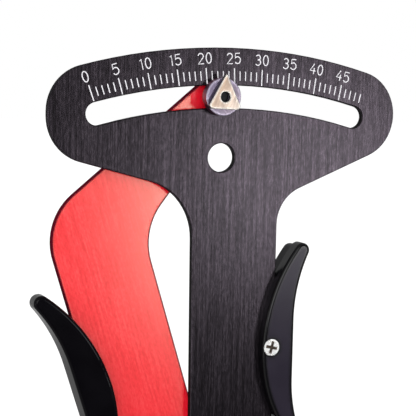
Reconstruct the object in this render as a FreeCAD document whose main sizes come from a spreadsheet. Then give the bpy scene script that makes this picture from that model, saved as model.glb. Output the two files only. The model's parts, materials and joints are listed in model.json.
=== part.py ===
import FreeCAD, Part
import math
import os

import Sketcher

# Spoke tension meter: a black scale plate with a fan-shaped head, a lever arm behind it that turns on
# a pivot in the plate's foot, a curved grip on each, and three grooved posts that bend a wheel spoke.
#
# Frame: +Z up along the plate's stem, -Y towards the reader of the scale, millimetres.
# The origin is the centre of the hang hole at the middle of the plate's thickness.
# Sketches are drawn about the pivot axis, and every body is placed there by its Placement.
# Angles round the pivot are measured clockwise from straight up, as the reader sees them.

DRIVING = [
    # Scale plate
    ("plate_thickness", 2.5, "plate thickness"),
    ("plate_chamfer", 0.3, "broken edge of the plate and of the arm"),
    ("hang_hole_radius", 4.6, "hole for a tool-board peg"),
    ("pivot_offset", 2.7, "pivot axis right of the hang hole"),
    ("hang_hole_drop", 19.41, "hang hole below the middle of the slot"),
    ("fan_band", 15.49, "top edge of the fan above the middle of the slot"),
    ("fan_end_wall", 12.02, "plate beyond each end of the slot"),
    ("fan_end_radius", 14.5, "rounded ends of the fan"),
    ("fan_left_drop", 1.6, "straight stretch in the left end"),
    ("underside_right_slope", 22.8, "slope of the fan's right lower edge, degrees"),
    ("underside_left_slope", 14.8, "slope of the fan's left lower edge, degrees"),
    ("neck_right_radius", 12.8, "fillet from the fan into the stem, right"),
    ("neck_left_radius", 19.2, "fillet from the fan into the stem, left"),
    ("stem_right", 17.6, "stem edge right of the pivot"),
    ("stem_left", 10.75, "stem edge left of the pivot"),
    ("stem_left_tilt", 0.66, "lean of that edge to the left, degrees"),
    ("flare_top", 52.0, "height where the stem widens to the right"),
    ("flare_bottom", 20.0, "height where the widening ends"),
    ("flare_radius", 24.0, "roundings of the widening"),
    ("foot_margin", 9.0, "foot beyond the axes of the outer posts"),
    ("foot_drop", 13.0, "bottom edge of the foot below the pivot"),
    ("foot_left_rise", 5.5, "top edge of the foot at its left end"),
    ("foot_neck_rise", 9.5, "top edge of the foot at the stem"),
    ("foot_corner_radius", 8.5, "roundings of the foot"),
    # Slot that guides the pointer
    ("slot_radius", 168.31, "middle of the curved slot, about the pivot"),
    ("slot_half_width", 3.6, "half the slot's width"),
    ("slot_half_angle", 15.29, "slot end centres either side of straight up, degrees"),
    # Lever arm
    ("arm_gap", 0.5, "gap between plate and arm"),
    ("arm_thickness", 2.5, "arm thickness"),
    ("arm_lean", 17.3, "lean of the arm's lower length to the left, degrees"),
    ("arm_outer_edge", 19.2, "outer edge of the lower length from the pivot"),
    ("arm_inner_edge", 10.9, "inner edge of the lower length from the pivot"),
    ("arm_heel", 12.5, "heel of the arm below the pivot"),
    ("arm_heel_radius", 14.0, "outer rounding of the heel"),
    ("arm_outer_bend", 19.0, "rounding of the outer bend"),
    ("arm_inner_bend", 20.0, "rounding of the inner bend"),
    ("arm_outer_slope", 40.2, "slope of the upper length's outer edge, degrees"),
    ("arm_inner_slope", 52.7, "slope of the upper length's inner edge, degrees"),
    ("arm_end_radius", 6.6, "rounded end of the arm about the pointer pin"),
    ("pointer_rest_angle", -1.3, "pointer pin at rest, degrees clockwise from straight up"),
    # Grips
    ("grip_half_depth", 5.0, "depth of each grip half"),
    ("grip_toe_angle", 0.8, "left grip turned out from the arm's edge, degrees"),
    ("right_screw_margin", 2.5, "right grip's screw in from the stem's edge"),
    ("left_screw_margin", 4.1, "left grip's screw in from the arm's edge"),
    ("grip_height", 86.0, "height of the right grip's innermost point above the pivot"),
    ("left_grip_drop", 0.5, "left grip lower than the right one, along the arm"),
    ("grip_inner_upper", 56.0, "inner edge radius above it"),
    ("grip_inner_lower", 47.0, "inner edge radius below it"),
    ("grip_width", 11.1, "straight outer edge from the innermost point"),
    ("grip_straight_above", 9.8, "straight outer edge above that height"),
    ("grip_straight_below", 10.0, "straight outer edge below that height"),
    ("grip_outer_upper", 53.0, "outer edge radius above it"),
    ("grip_outer_lower", 48.7, "outer edge radius below it"),
    ("grip_tip_radius", 2.45, "rounded tips of a grip's front half"),
    ("grip_rear_tip_radius", 2.6, "rounded tips of its rear half, which is a little shorter"),
    ("grip_fillet", 1.1, "rounded rim of each grip half"),
    ("grip_screw_inset", 3.0, "grip screw from the innermost point"),
    ("grip_screw_rise", 1.2, "grip screw above the innermost point"),
    ("grip_cap", 1.3, "plastic left over the blind screw hole"),
    ("grip_seat_clearance", 0.05, "clearance between a grip and the metal it clamps"),
    # Screws
    ("screw_radius", 1.5, "M3 shank"),
    ("screw_clearance", 0.08, "clearance round a shank"),
    ("csk_head_radius", 2.72, "countersunk head"),
    ("csk_rim", 0.1, "straight rim of a countersunk head"),
    ("pan_head_radius", 2.75, "pan head"),
    ("pan_head_height", 1.7, "pan head height"),
    ("recess_span", 3.0, "span of the cross recess"),
    ("recess_width", 0.7, "width of the cross recess"),
    ("recess_depth", 0.9, "depth of the cross recess"),
    ("screw_cross_turn", 20.0, "turn of the right grip screw's recess, degrees"),
    # Pivot
    ("shoulder_radius", 3.0, "shoulder of the pivot bolt"),
    ("running_clearance", 0.05, "clearance of the running fits"),
    ("bolt_head_radius", 5.5, "low head of the pivot bolt"),
    ("bolt_head_height", 2.0, "height of the low head"),
    ("bolt_key_flats", 3.0, "hexagon socket of the pivot bolt, across flats"),
    ("bolt_key_depth", 1.4, "depth of the hexagon socket"),
    ("shoulder_step", 0.5, "shoulder proud of the bolt's M5 thread"),
    ("bush_wall", 1.25, "wall of the pivot bush"),
    ("bush_flange_radius", 7.0, "thrust flange of the pivot bush"),
    ("pivot_washer_radius", 6.0, "washer under the pivot nut"),
    ("pivot_washer_thickness", 1.0, "washer thickness"),
    ("nut_flats", 8.0, "pivot nut across flats"),
    ("nut_height", 4.0, "pivot nut height"),
    ("thread_proud", 0.8, "thread left showing past a nut"),
    # Posts
    ("post_radius", 4.5, "posts that the spoke bears on"),
    ("post_groove_radius", 2.5, "bottom of the spoke groove"),
    ("groove_floor", 1.4, "width of the groove floor"),
    ("groove_mouth", 3.8, "width of the groove mouth"),
    ("spoke_standoff", 4.0, "spoke axis in front of the plate"),
    ("post_lip", 1.4, "post beyond the groove"),
    ("post_chamfer", 0.4, "broken edge of the post head"),
    ("post_left_offset", 42.0, "left fixed post from the pivot"),
    ("post_right_offset", 18.0, "right fixed post from the pivot"),
    ("post_drop", 4.1, "fixed posts below the pivot"),
    ("moving_post_gap", 2.0, "room between the moving post and the bolt's head"),
    ("moving_post_shank", 2.5, "shank of the moving post"),
    ("post_screw_depth", 5.0, "screw engagement in a post"),
    ("kidney_clearance", 0.4, "room round the moving post in the plate"),
    ("kidney_margin", 1.5, "spare angle at each end of the kidney slot, degrees"),
    # Pointer group
    ("slide_clearance", 0.1, "clearance of the sliding stack on the plate"),
    ("bush_clearance", 0.15, "clearance of the slide bush in the slot"),
    ("slide_washer_radius", 4.7, "slide washer"),
    ("disc_radius", 5.95, "slide disc"),
    ("disc_thickness", 3.35, "slide disc thickness"),
    ("disc_chamfer", 0.25, "broken edge of the slide disc"),
    ("pointer_thickness", 1.45, "pointer thickness"),
    ("pointer_tilt", 2.0, "pointer turned clockwise from straight up, degrees"),
    ("pointer_tip_reach", 7.5, "pointer tip above the pin"),
    ("pointer_base_reach", 3.9, "pointer base below the pin"),
    ("pointer_half_base", 6.0, "half the pointer's base"),
    ("pointer_corner_radius", 1.2, "rounded lower corners of the pointer"),
    ("pointer_tip_radius", 0.3, "rounded tip of the pointer"),
    ("pointer_hole_clearance", 0.12, "clearance of the pointer's hole round the screw's tip"),
    ("pointer_chamfer", 0.2, "broken edge of the pointer"),
    ("lock_washer_radius", 2.9, "lock washer under the pointer screw"),
    ("lock_washer_thickness", 0.7, "lock washer thickness"),
    # Return spring and its calibration screw
    ("spring_height", 37.0, "spring axis above the pivot"),
    ("arm_anchor_offset", 22.0, "arm anchor left of the pivot at rest"),
    ("plate_anchor_inset", 1.1, "plate anchor in from the stem's right edge"),
    ("anchor_radius", 4.0, "spring anchors"),
    ("anchor_chamfer", 0.5, "broken edge of an anchor"),
    ("anchor_cover", 4.0, "anchor behind the spring axis"),
    ("anchor_web", 0.3, "metal between an anchor's screw hole and its cross bore"),
    ("spring_radius", 3.6, "spring, to the middle of the wire"),
    ("spring_wire_radius", 0.6, "spring wire"),
    ("spring_turns", 9.0, "turns of the spring"),
    ("spring_gap", 0.8, "gap between spring and arm"),
    ("seat_lip", 0.4, "flange of a spring seat beyond the spring"),
    ("seat_thickness", 1.4, "flange thickness"),
    ("seat_nose_clearance", 0.3, "nose of a seat inside the spring"),
    ("seat_nose_length", 2.6, "nose length"),
    ("seat_stem_radius", 1.5, "stem of the arm's seat, in its anchor"),
    ("seat_stem_length", 3.0, "stem length in the anchor"),
    ("seat_gap", 0.6, "plate seat ahead of its anchor"),
    ("calibration_radius", 2.0, "M4 calibration screw"),
    ("calibration_tip", 1.2, "screw tip inside the seat"),
    ("calibration_head_radius", 3.4, "head of the calibration screw"),
    ("calibration_head_length", 3.2, "head length"),
    ("calibration_proud", 1.2, "thread between lock nut and head"),
    ("calibration_key_flats", 3.0, "hexagon socket, across flats"),
    ("calibration_key_depth", 2.0, "socket depth"),
    ("lock_nut_flats", 7.0, "lock nut across flats"),
    ("lock_nut_height", 2.2, "lock nut height"),
]

# Levels along Y and sums that several pieces share.
DERIVED = [
    ("plate_front", "=-plate_thickness / 2"),
    ("plate_rear", "=plate_thickness / 2"),
    ("arm_front", "=plate_rear + arm_gap"),
    ("arm_middle", "=arm_front + arm_thickness / 2"),
    ("arm_rear", "=arm_front + arm_thickness"),
    ("fan_radius", "=slot_radius + fan_band"),
    ("fan_half_width", "=slot_radius * sin(slot_half_angle * 1 deg) + slot_half_width + fan_end_wall"),
    ("pivot_drop", "=slot_radius - hang_hole_drop"),
    ("foot_left_reach", "=post_left_offset + foot_margin"),
    ("foot_right_reach", "=post_right_offset + foot_margin"),
    ("right_grip_inner", "=stem_right - right_screw_margin - grip_screw_inset"),
    ("left_grip_inner", "=arm_outer_edge - left_screw_margin - grip_screw_inset"),
    ("grip_lean", "=arm_lean + grip_toe_angle"),
    ("left_grip_height", "=grip_height - left_grip_drop"),
    ("right_grip_screw_height", "=grip_height + grip_screw_rise"),
    ("left_grip_screw_height", "=left_grip_height + grip_screw_rise"),
    ("moving_post_offset", "=bolt_head_radius + moving_post_gap + post_radius"),
    ("plate_anchor_offset", "=stem_right - plate_anchor_inset"),
    ("thread_radius", "=shoulder_radius - shoulder_step"),
    ("disc_rear", "=plate_front - slide_clearance"),
    ("disc_front", "=disc_rear - disc_thickness"),
    ("pointer_front", "=disc_front - pointer_thickness"),
    ("spoke_level", "=plate_front - spoke_standoff"),
    ("post_front", "=spoke_level - groove_mouth / 2 - post_lip"),
    ("spring_level", "=arm_rear + spring_gap + spring_radius + spring_wire_radius"),
    ("anchor_rear", "=spring_level + anchor_cover"),
    ("seat_radius", "=spring_radius + spring_wire_radius + seat_lip"),
    ("seat_nose_radius", "=spring_radius - spring_wire_radius - seat_nose_clearance"),
    ("shoulder_end", "=arm_rear + running_clearance"),
    ("nut_seat", "=shoulder_end + pivot_washer_thickness"),
    ("screw_hole_radius", "=screw_radius + screw_clearance"),
    ("pointer_hole_radius", "=screw_radius + pointer_hole_clearance"),
    ("csk_hole_radius", "=csk_head_radius + csk_rim + screw_clearance"),
    ("shoulder_bore", "=shoulder_radius + running_clearance"),
    ("bush_radius", "=shoulder_bore + bush_wall"),
    ("slide_bush_radius", "=slot_half_width - bush_clearance"),
]

# Largest share of a straight side that one rounding at its end may take.
ROUNDING_SHARE = 0.49

doc = FreeCAD.newDocument("spoke_tension_meter")
sheet = doc.addObject("Spreadsheet::Sheet", "sizes")
SIZE = {}
PARTS = []


def fill_sheet():
    """Write the driving dimensions and the levels worked out from them, and read them all back."""
    rows = [(alias, str(value), note) for alias, value, note in DRIVING]
    rows += [(alias, formula, "worked out") for alias, formula in DERIVED]
    for row, (alias, content, note) in enumerate(rows, start=1):
        sheet.set("A%d" % row, alias)
        sheet.set("B%d" % row, content)
        sheet.set("C%d" % row, note)
        sheet.setAlias("B%d" % row, alias)
    doc.recompute()
    for alias, content, note in rows:
        SIZE[alias] = float(sheet.get(alias))


# ---------------------------------------------------------------- plane geometry

def flat(x, z):
    """A point of a front-view sketch."""
    return FreeCAD.Vector(x, z, 0)


def polar(radius, angle):
    """The point at this radius from the pivot, angle in degrees clockwise from straight up."""
    turn = math.radians(angle)
    return flat(radius * math.sin(turn), radius * math.cos(turn))


def turned_clockwise(point, angle):
    """A sketch point turned clockwise about the pivot, angle in degrees."""
    turn = math.radians(angle)
    return flat(point.x * math.cos(turn) + point.y * math.sin(turn),
                point.y * math.cos(turn) - point.x * math.sin(turn))


def heading(slope):
    """Unit vector that rises at this slope, in degrees from level."""
    return polar(1, 90 - slope)


def unit(vector):
    return FreeCAD.Vector(vector) / vector.Length


def line_meet(point, direction, other_point, other_direction):
    """Where two lines cross."""
    cross = direction.x * other_direction.y - direction.y * other_direction.x
    gap = other_point - point
    along = (gap.x * other_direction.y - gap.y * other_direction.x) / cross
    return point + direction * along


def circle_meet(centre, radius, other_centre, other_radius, upward):
    """The upper or the lower of the two points where two circles cross."""
    gap = other_centre - centre
    along = (radius ** 2 - other_radius ** 2 + gap.Length ** 2) / (2 * gap.Length)
    across = math.sqrt(radius ** 2 - along ** 2)
    side = unit(flat(-gap.y, gap.x))
    if (side.y > 0) != upward:
        side = -side
    return centre + unit(gap) * along + side * across


def line(start, end):
    return Part.LineSegment(start, end)


def short_arc(centre, start, end):
    """Arc of under half a turn from start to end about a centre."""
    middle = unit((start - centre) + (end - centre)) * (start - centre).Length
    return Part.Arc(start, centre + middle, end)


def round_end(centre, start, end, outward):
    """Arc round a tip whose far side lies towards outward."""
    return Part.Arc(start, centre + unit(outward) * (start - centre).Length, end)


def rounded_path(corners):
    """Lines through corners of (point, radius), with an arc at each corner between.

    The arc has that radius, or the largest that the shorter of its two sides has room for.
    """
    edges = []
    last = corners[0][0]
    for index in range(1, len(corners) - 1):
        corner, radius = corners[index]
        back = corners[index - 1][0] - corner
        ahead = corners[index + 1][0] - corner
        half = back.getAngle(ahead) / 2
        reach = min(radius / math.tan(half), ROUNDING_SHARE * min(back.Length, ahead.Length))
        start = corner + unit(back) * reach
        end = corner + unit(ahead) * reach
        centre = corner + unit(unit(back) + unit(ahead)) * (reach / math.cos(half))
        edges.append(line(last, start))
        edges.append(short_arc(centre, start, end))
        last = end
    edges.append(line(last, corners[-1][0]))
    return edges


def rounded_polygon(corners):
    """Closed outline of corners of (point, radius); it starts in the middle of its last side."""
    start = (corners[-1][0] + corners[0][0]) / 2
    return rounded_path([(start, 0)] + corners + [(start, 0)])


def polygon(points):
    return [line(start, end) for start, end in zip(points, points[1:] + points[:1])]


def hexagon(flats):
    """Regular hexagon about the sketch's origin, two flats level."""
    return polygon([polar(flats / math.sqrt(3), 30 + 60 * corner) for corner in range(6)])


def cross(span, width, turn=0.0):
    """Outline of a cross recess about the sketch's origin, turned clockwise."""
    long, short = span / 2, width / 2
    quarter = [(-short, long), (short, long), (short, short)]
    points = []
    for quarter_turn in range(4):
        points += [turned_clockwise(flat(x, z), 90 * quarter_turn + turn) for x, z in quarter]
    return polygon(points)


def arc_slot(radius, half_width, first, last):
    """Slot of even width that follows a circle about the pivot from one angle to another."""
    outer, inner = radius + half_width, radius - half_width
    middle = (first + last) / 2
    ends = [turned_clockwise(flat(-1, 0), first), turned_clockwise(flat(1, 0), last)]
    return [Part.Arc(polar(outer, first), polar(outer, middle), polar(outer, last)),
            round_end(polar(radius, last), polar(outer, last), polar(inner, last), ends[1]),
            Part.Arc(polar(inner, last), polar(inner, middle), polar(inner, first)),
            round_end(polar(radius, first), polar(inner, first), polar(outer, first), ends[0])]


# ---------------------------------------------------------------- features

def new_body(label, x="0", z="0", level="0"):
    """Body of one sub-part, placed from the pivot axis by expressions of the sheet's sizes."""
    body = doc.addObject("PartDesign::Body", label)
    body.Label = label
    body.setExpression("Placement.Base.x", "sizes.pivot_offset + (%s)" % x)
    body.setExpression("Placement.Base.y", level)
    body.setExpression("Placement.Base.z", "-sizes.pivot_drop + (%s)" % z)
    PARTS.append(body)
    return body


def new_sketch(body, plane, edges, level="0"):
    """Sketch of edges on one of the body's origin planes, moved rearward (or towards -X) to a level."""
    sketch = body.newObject("Sketcher::SketchObject", body.Label + "_sketch")
    for feature in body.Origin.OriginFeatures:
        if feature.Role == plane:
            sketch.AttachmentSupport = [(feature, "")]
    sketch.MapMode = "FlatFace"
    sketch.setExpression("AttachmentOffset.Base.z", "-(%s)" % level)
    sketch.addGeometry(edges, False)
    return sketch


def along_x(body, edges, place):
    """Sketch square to X at a place on that axis."""
    return new_sketch(body, "YZ_Plane", edges, -place)


def add_circle(sketch, centre, radius_alias):
    """Circle whose radius is bound to the sheet."""
    circle = Part.Circle(centre, FreeCAD.Vector(0, 0, 1), SIZE[radius_alias])
    index = sketch.addGeometry(circle, False)
    rule = sketch.addConstraint(Sketcher.Constraint("Radius", index, SIZE[radius_alias]))
    sketch.setExpression("Constraints[%d]" % rule, "sizes." + radius_alias)


def pad(body, sketch, length, rearward=False):
    """Pad towards the reader, or rearward."""
    feature = body.newObject("PartDesign::Pad", body.Label + "_pad")
    feature.Profile = sketch
    feature.setExpression("Length", length)
    feature.Reversed = rearward
    sketch.Visibility = False
    doc.recompute()
    return feature


def pocket(body, sketch, length, forward=False):
    """Pocket rearward, or forward towards the reader; it has to take something away."""
    before = body.Shape.Volume
    feature = body.newObject("PartDesign::Pocket", body.Label + "_pocket")
    feature.Profile = sketch
    feature.setExpression("Length", length)
    feature.Reversed = forward
    sketch.Visibility = False
    doc.recompute()
    if not body.Shape.Volume < before:
        raise RuntimeError(body.Label + ": a pocket cuts nothing")
    return feature


def countersink(body, centre, level, forward=False):
    """Countersunk hole for an M3 screw, right through, that opens at this level."""
    before = body.Shape.Volume
    sketch = new_sketch(body, "XZ_Plane", [], level)
    add_circle(sketch, centre, "screw_hole_radius")
    hole = body.newObject("PartDesign::Hole", body.Label + "_countersink")
    hole.Profile = sketch
    doc.recompute()
    hole.Reversed = forward
    hole.DepthType = "ThroughAll"
    hole.setExpression("Diameter", "2 * sizes.screw_hole_radius")
    hole.HoleCutType = "Countersink"
    hole.HoleCutCustomValues = True
    hole.setExpression("HoleCutDiameter", "2 * sizes.csk_hole_radius")
    hole.HoleCutCountersinkAngle = 90
    doc.recompute()
    if not body.Shape.Volume < before:
        raise RuntimeError(body.Label + ": a countersink cuts nothing")


def faces_at(shape, level):
    """Names of the flat faces that lie square to Y at a level of the body's own frame."""
    names = []
    for number, face in enumerate(shape.Faces, start=1):
        if face.BoundBox.YLength < 1e-6 and abs(face.BoundBox.YMin - level) < 1e-6:
            names.append("Face%d" % number)
    return names


def edges_at(shape, level):
    """Names of the edges that lie wholly in a plane square to Y at this level."""
    names = []
    for number, edge in enumerate(shape.Edges, start=1):
        if edge.BoundBox.YLength < 1e-6 and abs(edge.BoundBox.YMin - level) < 1e-6:
            names.append("Edge%d" % number)
    return names


def break_edges(body, feature, kind, names, size, alias):
    """Chamfer or fillet on named edges of the body's last feature."""
    dressing = body.newObject("PartDesign::" + kind, body.Label + "_" + kind.lower())
    dressing.Base = (feature, names)
    dressing.setExpression(size, "sizes." + alias)
    doc.recompute()
    return dressing


def revolve(body, profile, about="V_Axis"):
    """Turned piece: a closed profile round the sketch's upright axis (along Y) or level one (X)."""
    points = [FreeCAD.Vector(across, along, 0) for across, along in profile]
    sketch = new_sketch(body, "XY_Plane", polygon(points))
    feature = body.newObject("PartDesign::Revolution", body.Label + "_turning")
    feature.Profile = sketch
    feature.ReferenceAxis = (sketch, [about])
    feature.Angle = 360
    sketch.Visibility = False
    doc.recompute()
    return feature


def key_recess(body, edges, level, depth_alias, forward=False):
    """Driving recess sunk into a head."""
    sketch = new_sketch(body, "XZ_Plane", edges, level)
    pocket(body, sketch, "sizes." + depth_alias, forward)


# ---------------------------------------------------------------- places that pieces share

PIN_X = "sizes.slot_radius * sin(sizes.pointer_rest_angle * 1 deg)"
PIN_Z = "sizes.slot_radius * cos(sizes.pointer_rest_angle * 1 deg)"


def pin_point():
    return polar(SIZE["slot_radius"], SIZE["pointer_rest_angle"])


def travel_limits():
    """Turn of the arm from rest until the slide bush meets each end of the slot, in degrees."""
    return (-SIZE["slot_half_angle"] - SIZE["pointer_rest_angle"],
            SIZE["slot_half_angle"] - SIZE["pointer_rest_angle"])


def grip_middle(side):
    """Innermost point of a grip in its own upright sketches; side is 1 on the right, -1 on the left."""
    if side > 0:
        return flat(SIZE["right_grip_inner"], SIZE["grip_height"])
    return flat(-SIZE["left_grip_inner"], SIZE["left_grip_height"])


def grip_screw_point(side):
    """A grip's screw in the same sketches."""
    return grip_middle(side) + flat(side * SIZE["grip_screw_inset"], SIZE["grip_screw_rise"])


# ---------------------------------------------------------------- scale plate

def plate_outline():
    """Fan, stem and foot of the plate, clockwise from the right end of the fan."""
    end_radius = SIZE["fan_end_radius"]
    end_x = SIZE["fan_half_width"] - end_radius
    end_z = math.sqrt((SIZE["fan_radius"] - end_radius) ** 2 - end_x ** 2)
    right_end = flat(end_x, end_z)
    left_end = flat(-end_x, end_z)
    left_end_low = left_end - flat(0, SIZE["fan_left_drop"])
    right_way = heading(SIZE["underside_right_slope"])
    left_way = heading(-SIZE["underside_left_slope"])
    right_under = right_end + flat(right_way.y, -right_way.x) * end_radius
    left_under = left_end_low + flat(left_way.y, -left_way.x) * end_radius
    stem_right, upright = flat(SIZE["stem_right"], 0), flat(0, 1)
    stem_left, left_up = flat(-SIZE["stem_left"], 0), polar(1, -SIZE["stem_left_tilt"])
    foot = SIZE["foot_corner_radius"]
    flare = SIZE["flare_radius"]
    lower = rounded_path([
        (right_under, 0),
        (line_meet(right_under, right_way, stem_right, upright), SIZE["neck_right_radius"]),
        (flat(SIZE["stem_right"], SIZE["flare_top"]), flare),
        (flat(SIZE["foot_right_reach"], SIZE["flare_bottom"]), flare),
        (flat(SIZE["foot_right_reach"], -SIZE["foot_drop"]), foot),
        (flat(-SIZE["foot_left_reach"], -SIZE["foot_drop"]), foot),
        (flat(-SIZE["foot_left_reach"], SIZE["foot_left_rise"]), foot),
        (stem_left + left_up * SIZE["foot_neck_rise"], foot),
        (line_meet(left_under, left_way, stem_left, left_up), SIZE["neck_left_radius"]),
        (left_under, 0)])
    left_side = flat(-end_radius, 0)
    left_top = unit(left_end) * SIZE["fan_radius"]
    right_top = unit(right_end) * SIZE["fan_radius"]
    return lower + [
        short_arc(left_end_low, left_under, left_end_low + left_side),
        line(left_end_low + left_side, left_end + left_side),
        short_arc(left_end, left_end + left_side, left_top),
        Part.Arc(left_top, polar(SIZE["fan_radius"], 0), right_top),
        short_arc(right_end, right_top, right_under)]


def scale_plate():
    """Flat plate with the slot, the hang hole and the holes for the posts, screws and pivot."""
    body = new_body("scale_plate")
    low, high = travel_limits()
    spare = SIZE["kidney_margin"]
    sketch = new_sketch(body, "XZ_Plane", plate_outline(), "sizes.plate_rear")
    sketch.addGeometry(arc_slot(SIZE["slot_radius"], SIZE["slot_half_width"],
                                -SIZE["slot_half_angle"], SIZE["slot_half_angle"]), False)
    sketch.addGeometry(arc_slot(SIZE["moving_post_offset"],
                                SIZE["moving_post_shank"] + SIZE["kidney_clearance"],
                                low - 90 - spare, high - 90 + spare), False)
    add_circle(sketch, flat(-SIZE["pivot_offset"], SIZE["pivot_drop"]), "hang_hole_radius")
    add_circle(sketch, flat(0, 0), "shoulder_bore")
    add_circle(sketch, grip_screw_point(1), "screw_hole_radius")
    for x in (-SIZE["post_left_offset"], SIZE["post_right_offset"]):
        add_circle(sketch, flat(x, -SIZE["post_drop"]), "screw_hole_radius")
    slab = pad(body, sketch, "sizes.plate_thickness")
    faces = faces_at(slab.Shape, SIZE["plate_front"]) + faces_at(slab.Shape, SIZE["plate_rear"])
    break_edges(body, slab, "Chamfer", faces, "Size", "plate_chamfer")
    anchor = flat(SIZE["plate_anchor_offset"], SIZE["spring_height"])
    countersink(body, anchor, "sizes.plate_front")


# ---------------------------------------------------------------- lever arm

def arm_outline():
    """Cranked arm at rest: a leaning lower length, a bend, and a length that tapers to the pin."""
    lean = SIZE["arm_lean"]
    up = polar(1, -lean)
    outer_foot = turned_clockwise(flat(-SIZE["arm_outer_edge"], -SIZE["arm_heel"]), -lean)
    inner_foot = turned_clockwise(flat(SIZE["arm_inner_edge"], -SIZE["arm_heel"]), -lean)
    outer_way = heading(SIZE["arm_outer_slope"])
    inner_way = heading(SIZE["arm_inner_slope"])
    pin = pin_point()
    outer_end = pin + flat(-outer_way.y, outer_way.x) * SIZE["arm_end_radius"]
    inner_end = pin + flat(inner_way.y, -inner_way.x) * SIZE["arm_end_radius"]
    sides = rounded_path([
        (outer_end, 0),
        (line_meet(outer_end, outer_way, outer_foot, up), SIZE["arm_outer_bend"]),
        (outer_foot, SIZE["arm_heel_radius"]),
        (inner_foot, SIZE["arm_inner_edge"]),
        (line_meet(inner_end, inner_way, inner_foot, up), SIZE["arm_inner_bend"]),
        (inner_end, 0)])
    return sides + [round_end(pin, inner_end, outer_end, outer_way + inner_way)]


def lever_arm():
    body = new_body("lever_arm")
    sketch = new_sketch(body, "XZ_Plane", arm_outline(), "sizes.arm_rear")
    add_circle(sketch, flat(0, 0), "bush_radius")
    add_circle(sketch, flat(-SIZE["moving_post_offset"], 0), "screw_hole_radius")
    add_circle(sketch, turned_clockwise(grip_screw_point(-1), -SIZE["grip_lean"]), "screw_hole_radius")
    add_circle(sketch, pin_point(), "screw_hole_radius")
    slab = pad(body, sketch, "sizes.arm_thickness")
    faces = faces_at(slab.Shape, SIZE["arm_front"]) + faces_at(slab.Shape, SIZE["arm_rear"])
    break_edges(body, slab, "Chamfer", faces, "Size", "plate_chamfer")
    anchor = flat(-SIZE["arm_anchor_offset"], SIZE["spring_height"])
    countersink(body, anchor, "sizes.arm_front")


# ---------------------------------------------------------------- grips

def grip_outline(side, tip):
    """Crescent with both tips of this radius turned outward; the left one is a mirror image."""
    middle = grip_middle(side)
    outline = []
    straight = []
    for upward, inner_radius, outer_radius, rise in (
            (True, SIZE["grip_inner_upper"], SIZE["grip_outer_upper"], SIZE["grip_straight_above"]),
            (False, SIZE["grip_inner_lower"], SIZE["grip_outer_lower"], -SIZE["grip_straight_below"])):
        inner = middle + flat(side * inner_radius, 0)
        straight_end = middle + flat(side * SIZE["grip_width"], rise)
        outer = straight_end + flat(side * outer_radius, 0)
        centre = circle_meet(inner, inner_radius - tip, outer, outer_radius + tip, upward)
        inner_end = inner + unit(centre - inner) * inner_radius
        outer_end = outer + unit(centre - outer) * outer_radius
        outline += [short_arc(inner, middle, inner_end),
                    round_end(centre, inner_end, outer_end, centre - straight_end),
                    short_arc(outer, outer_end, straight_end)]
        straight.append(straight_end)
    outline.append(line(straight[0], straight[1]))
    return outline


def clamped_metal(side):
    """Stretch of plate or arm between the halves, with its edge moved out by the clearance."""
    low, high = SIZE["grip_height"] / 2, SIZE["grip_height"] * 2
    if side > 0:
        edge = [flat(SIZE["stem_right"], low), flat(SIZE["stem_right"], high)]
    else:
        tilt = SIZE["grip_lean"] - SIZE["arm_lean"]
        edge = [turned_clockwise(flat(-SIZE["arm_outer_edge"], height), tilt) for height in (low, high)]
    out = flat(side * SIZE["grip_seat_clearance"], 0)
    return polygon([flat(0, low), edge[0] + out, edge[1] + out, flat(0, high)])


def grip_half(label, side, front, screwed):
    """One half of a grip. The half that takes the screw's head is screwed, the other is blind."""
    metal = "sizes.plate_thickness" if side > 0 else "sizes.arm_thickness"
    body = new_body(label, level="0" if side > 0 else "sizes.arm_middle")
    if side < 0:
        lean = FreeCAD.Rotation(FreeCAD.Vector(0, 1, 0), -SIZE["grip_lean"])
        body.Placement = FreeCAD.Placement(body.Placement.Base, lean)
        body.setExpression("Placement.Rotation.Angle", "-sizes.grip_lean")
    tip = SIZE["grip_tip_radius"] if front else SIZE["grip_rear_tip_radius"]
    outline = new_sketch(body, "XZ_Plane", grip_outline(side, tip))
    half = pad(body, outline, "sizes.grip_half_depth", not front)
    face = -SIZE["grip_half_depth"] if front else SIZE["grip_half_depth"]
    rim = edges_at(half.Shape, face)
    break_edges(body, half, "Fillet", rim, "Radius", "grip_fillet")
    seat = new_sketch(body, "XZ_Plane", clamped_metal(side))
    pocket(body, seat, metal + " / 2 + sizes.grip_seat_clearance", front)
    place = grip_screw_point(side)
    if screwed:
        countersink(body, place, "-sizes.grip_half_depth" if front else "sizes.grip_half_depth", not front)
    else:
        blind = new_sketch(body, "XZ_Plane", [])
        add_circle(blind, place, "screw_hole_radius")
        pocket(body, blind, "sizes.grip_half_depth - sizes.grip_cap", front)


def grips():
    grip_half("right_grip_front", 1, True, True)
    grip_half("right_grip_rear", 1, False, False)
    grip_half("left_grip_front", -1, True, False)
    grip_half("left_grip_rear", -1, False, True)


# ---------------------------------------------------------------- screws

def cross_recess(body, face, way, turn):
    """Cross recess sunk into a head whose face lies at this level; way is 1 where it sinks rearward."""
    outline = cross(SIZE["recess_span"], SIZE["recess_width"], turn)
    key_recess(body, outline, face, "recess_depth", way < 0)


def csk_screw(label, x, z, face, tip, turn=0.0):
    """Countersunk screw along Y, from the face its head is flush with to its tip."""
    way = 1 if tip > face else -1
    head = SIZE["csk_head_radius"]
    rim = face + way * SIZE["csk_rim"]
    neck = rim + way * (head - SIZE["screw_radius"])
    point = SIZE["screw_radius"] / 3
    body = new_body(label, x, z)
    revolve(body, [(0, face), (head, face), (head, rim), (SIZE["screw_radius"], neck),
                   (SIZE["screw_radius"], tip - way * point), (SIZE["screw_radius"] - point, tip),
                   (0, tip)])
    cross_recess(body, face, way, turn)


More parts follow.
